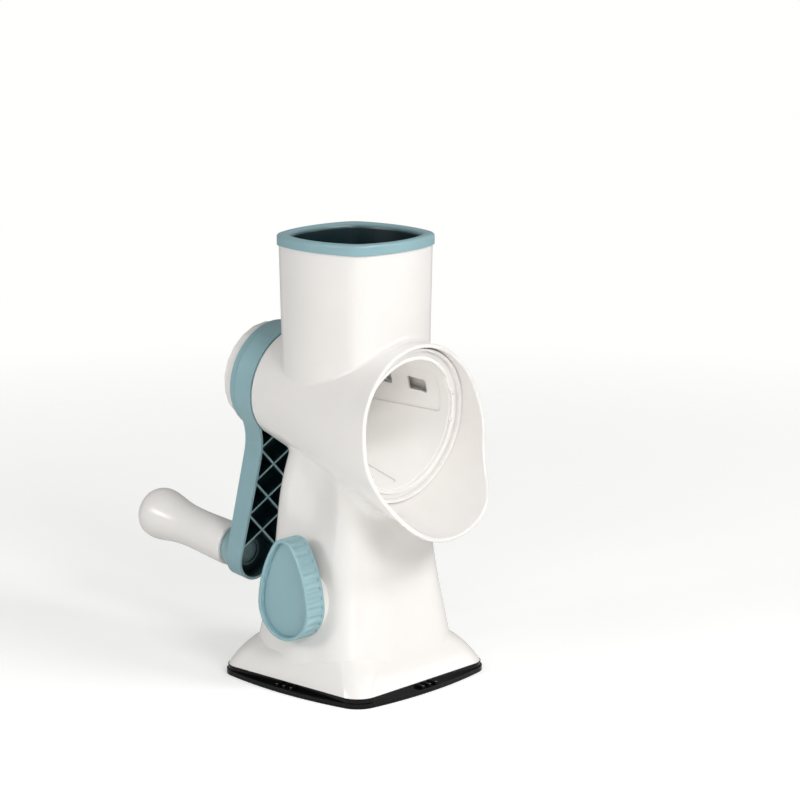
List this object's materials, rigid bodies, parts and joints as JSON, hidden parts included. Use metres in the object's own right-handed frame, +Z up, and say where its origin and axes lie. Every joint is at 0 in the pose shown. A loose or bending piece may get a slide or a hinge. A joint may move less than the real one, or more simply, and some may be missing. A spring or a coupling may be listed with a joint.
{
  "type": "rotary cheese grater",
  "caption": "Hand-cranked rotary cheese grater: tilted white barrel with scoop mouth and feed chute on a suction foot, teal crank, pusher and suction lever.",
  "frame": {"origin": "centre of the suction pad's flat underside, under the pedestal's centre line", "axes": "+Z up, -Y towards the mouth, +Y towards the crank, +X to the right seen from the mouth; the barrel axis lies in the YZ plane and tips 8.16 degrees down towards -Y"},
  "size_m": [0.11, 0.2139, 0.235],
  "materials": {
    "white_shell": "satin gloss moulded ABS",
    "white_small": "gloss moulded ABS",
    "white_nylon": "natural nylon",
    "teal": "satin moulded ABS, grey teal",
    "teal_cover": "satin moulded ABS, grey teal",
    "black_rubber": "glossy black",
    "steel_sheet": "fine brushed",
    "steel_turned": "turned",
    "steel_zinc": "bright zinc"
  },
  "bodies": {
    "root": {"housing": "white_shell", "rear_bush": "white_nylon", "base_plate": "white_nylon", "base_plate_screws": "steel_zinc", "suction_pad": "black_rubber", "cam_bush": "white_nylon"},
    "crank": {"crank_arm": "teal", "drive_shaft": "steel_turned", "shaft_screws": "steel_zinc", "shaft_clip": "steel_zinc", "handle_spindle": "steel_turned", "handle_washer": "white_nylon", "handle_end_washer": "steel_zinc", "handle_screw": "steel_zinc", "cap_spring": "steel_zinc"},
    "release_button": {"hub_cap": "white_small", "release_plunger": "steel_turned"},
    "grip": {"handle_grip": "white_small", "handle_end_plug": "white_small"},
    "drum": {"drum_shell": "white_small", "drum_blades": "steel_sheet", "drum_front_ring": "white_small", "drum_rear_hub": "white_small"},
    "suction_lever": {"suction_knob": "teal", "knob_cover": "teal_cover", "knob_screw": "steel_zinc", "cam_shaft": "steel_turned", "cam_clip": "steel_zinc"},
    "pad_lifter": {"pad_stem": "white_nylon"},
    "pusher": {"pusher": "teal"}
  },
  "joints": [
    {"name": "crank_turn", "type": "hinge", "parent": "root", "child": "crank", "pos_m": [0, 0, 0.1439], "axis": [0, 0.9899, 0.1419], "continuous": true},
    {"name": "drum_pull_out", "type": "slide", "parent": "crank", "child": "drum", "axis": [0, -0.9899, -0.1419], "range_m": [0, 0.115]},
    {"name": "grip_spin", "type": "hinge", "parent": "crank", "child": "grip", "pos_m": [-0.01062, 0.01387, 0.04716], "axis": [0, 0.9899, 0.1419], "continuous": true},
    {"name": "release_press", "type": "slide", "parent": "crank", "child": "release_button", "axis": [0, -0.9899, -0.1419], "range_m": [0, 0.003], "stiffness_N_per_m": 600, "springref_m": -0.002, "deforming": ["cap_spring"]},
    {"name": "pusher_slide", "type": "slide", "parent": "root", "child": "pusher", "axis": [0, 0, 1], "range_m": [0, 0.065]},
    {"name": "suction_lever_turn", "type": "hinge", "parent": "root", "child": "suction_lever", "pos_m": [-0.045, 0, 0.046], "axis": [1, 0, 0], "range_deg": [0, 90]},
    {"name": "pad_lift", "type": "slide", "parent": "root", "child": "pad_lifter", "axis": [0, 0, 1], "range_m": [0, 0.00425]}
  ],
  "couplings": [
    {"joint": "pad_lift", "follows": "suction_lever_turn", "m_per_rad": 0.0027009}
  ]
}
